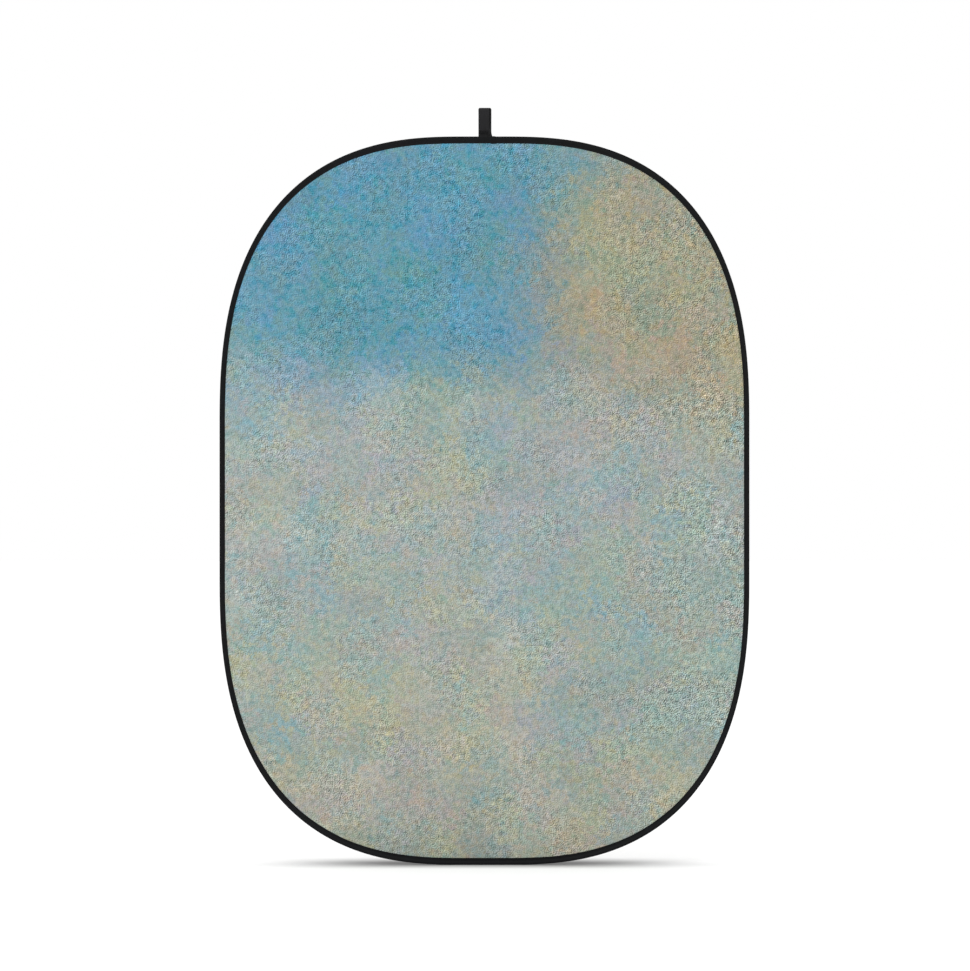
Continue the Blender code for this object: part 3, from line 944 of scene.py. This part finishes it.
def loop_piece(material):
    """The hanging loop: one strip of webbing with rounded, slightly uneven selvedges."""
    path = loop_path()
    half, thick = WEBBING_WIDTH / 2, WEBBING_THICKNESS / 2 - 0.00003
    across = [
        (-half, 0.0), (-half + 0.0003, 0.7), (-half + 0.0010, 1.0), (-half + 0.0030, 0.93),
        (-half * 0.5, 1.0), (0.0, 1.0), (half * 0.5, 1.0),
        (half - 0.0030, 0.93), (half - 0.0010, 1.0), (half - 0.0003, 0.7), (half, 0.0),
    ]
    section = [(x, share * thick) for x, share in across]
    section += [(x, -share * thick) for x, share in reversed(across[1:-1])]
    spread = [x for x, _ in section] + [section[0][0]]
    rows, uvs, distance = [], [], 0.0
    for index, (y, z, sideways) in enumerate(path):
        before, after = path[max(index - 1, 0)], path[min(index + 1, len(path) - 1)]
        tangent = Vector((0.0, after[0] - before[0], after[1] - before[1])).normalized()
        outward = Vector((0.0, tangent.z, -tangent.y))
        waver = 0.00025 * noise.noise(Vector((distance * 55, 1.0, 3.0)))
        row = []
        for x, lift in section:
            stretch = 1 + 0.010 * noise.noise(Vector((distance * 80, math.copysign(2.0, x), 6.0)))
            row.append(Vector((x * stretch + sideways + waver, y, z)) + outward * lift)
        rows.append(row)
        uvs.append([(distance, value) for value in spread])
        if index < len(path) - 1:
            distance += math.hypot(path[index + 1][0] - y, path[index + 1][1] - z)
    shape = Shape()
    shape.grid(rows, uvs, closed=True)
    shape.cap(0, len(section), uvs[0][0], True)
    shape.cap(len(shape.vertices) - len(section), len(section), uvs[-1][0], False)
    obj = shape.piece("loop_webbing", material, "webbing")
    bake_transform(obj)
    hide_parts("hanging_loop", "loop_tails")


def tack_piece(material):
    """The bar tack that closes the loop's foot: close zigzag stitches on both faces."""
    shape = Shape()
    for side in (-1, 1):
        face = side * (PLY_HALF + WEBBING_THICKNESS / 2)
        middle = LOOP_FRONT_X if side < 0 else LOOP_BACK_X
        distance = 0.0
        for index in range(TACK_PASSES):
            x = middle - TACK_HALF_WIDTH + 2 * TACK_HALF_WIDTH * (index + 0.5) / TACK_PASSES
            slip = 0.00035 * noise.noise(Vector((index * 0.7, side, 12.0)))
            low, high = RIM_Z + TACK_LOW + slip, RIM_Z + TACK_HIGH + slip
            lean = TACK_HALF_WIDTH / TACK_PASSES * (1 if index % 2 else -1)
            points = []
            for share, height in TACK_ARC:
                across = x + lean * (2 * share - 1)
                points.append(Vector((across, face + side * height, low + (high - low) * share)))
            shape.tube(points, 6, TACK_THREAD_RADIUS, Vector((0, side, 0)), distance)
            distance += high - low
    obj = shape.piece("loop_bar_tack", material, "thread")
    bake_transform(obj)
    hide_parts("loop_tack_front", "loop_tack_back")


# ---------------------------------------------------------------- object


lining = lining_material("lining_polyester")
binding = binding_material("binding_tape_black")
webbing = webbing_material("webbing_black")
thread = thread_material("thread_black")
steel = steel_material("spring_steel_strip", "8d8f93", "5d5f63")

for piece in range(PIECES):
    printed = print_material(f"print_{piece:02d}_cloth")
    grid = cloth_grid(piece)
    cloth_piece("print", piece, grid, printed, "print_cloth", -1)
    cloth_piece("lining", piece, grid, lining, "lining_cloth", 1)
    binding_piece(piece, binding)
    hoop_piece(piece, steel)
    stitch_piece(piece, thread)
lap_piece(binding)
loop_piece(webbing)
tack_piece(thread)

sleeve = frame["nodes"]["hoop_sleeve"]
sleeve_material = steel_material("crimped_sleeve", "b4b4ae", "84847e")
for node in sleeve_material.node_tree.nodes:
    if node.type == "UVMAP":
        coordinates = sleeve_material.node_tree.nodes.new("ShaderNodeTexCoord")
        targets = [link.to_socket for link in node.outputs[0].links]
        for target in targets:
            sleeve_material.node_tree.links.new(coordinates.outputs["Object"], target)
sleeve.data.materials.clear()
sleeve.data.materials.append(sleeve_material)

# ---------------------------------------------------------------- stage, light and camera


FLOOR_HALF = 60.0


def stage_floor():
    """A pale floor. The panel's thin contact shadow is painted on it, as one light doesn't give it."""
    mesh = bpy.data.meshes.new("floor")
    corners = []
    for x, y in ((-1, -1), (1, -1), (1, 1), (-1, 1)):
        corners.append((x * FLOOR_HALF, y * FLOOR_HALF, BOTTOM_Z))
    mesh.from_pydata(corners, [], [(0, 1, 2, 3)])
    floor = bpy.data.objects.new("floor", mesh)
    bpy.context.scene.collection.objects.link(floor)
    shader = Shader("pale_floor")
    spot = shader.node("ShaderNodeTexCoord").outputs["Object"]
    x, y = shader.axes(spot)
    beside = shader.remap(shader.number("ABSOLUTE", x), 0.20, 0.70, 1.0, 0.0)
    before = shader.number("ABSOLUTE", shader.number("SUBTRACT", y, PANEL_Y + 0.07))
    shade = shader.number("MULTIPLY", beside, shader.remap(before, 0.0, 0.25, 0.78, 0.0))
    colour = shader.mix(shade, (0.78, 0.78, 0.78, 1.0), (0.02, 0.02, 0.02, 1.0))
    mesh.materials.append(shader.finish(colour, 0.9, Specular_IOR_Level=0.0))


def area_light(name, place, target, size, power):
    light = bpy.data.lights.new(name, "AREA")
    light.shape = "RECTANGLE"
    light.size, light.size_y = size
    light.energy = power
    obj = bpy.data.objects.new(name, light)
    obj.location = place
    obj.rotation_euler = (Vector(target) - Vector(place)).to_track_quat("-Z", "Y").to_euler()
    bpy.context.scene.collection.objects.link(obj)


stage_floor()
world = bpy.data.worlds.new("soft_white")
world.use_nodes = True
world.node_tree.nodes["Background"].inputs["Color"].default_value = (1.0, 1.0, 1.0, 1.0)
world.node_tree.nodes["Background"].inputs["Strength"].default_value = 1.0
bpy.context.scene.world = world
bpy.context.scene.view_settings.view_transform = "Standard"
sun = bpy.data.lights.new("overhead", "SUN")
sun.angle = 0.16
sun.energy = 1.3
overhead = bpy.data.objects.new("overhead", sun)
overhead.location = (0.0, 0.0, BOTTOM_Z + 6.0)
bpy.context.scene.collection.objects.link(overhead)
area_light("key", (-4.0, -5.5, PANEL_Z + 2.2), (0.0, PANEL_Y, PANEL_Z), (2.5, 2.5), 90.0)

camera_data = bpy.data.cameras.new("camera")
camera_data.sensor_width = 36.0
camera_distance = 15.0
frame_width = 2.7495
camera_data.lens = camera_data.sensor_width * camera_distance / frame_width
camera_data.clip_end = 200.0
camera = bpy.data.objects.new("camera", camera_data)
camera.location = (0.0015, PANEL_Y - camera_distance, PANEL_Z + 0.0430)
camera.rotation_euler = (math.pi / 2, 0.0, 0.0)
bpy.context.scene.collection.objects.link(camera)
bpy.context.scene.camera = camera
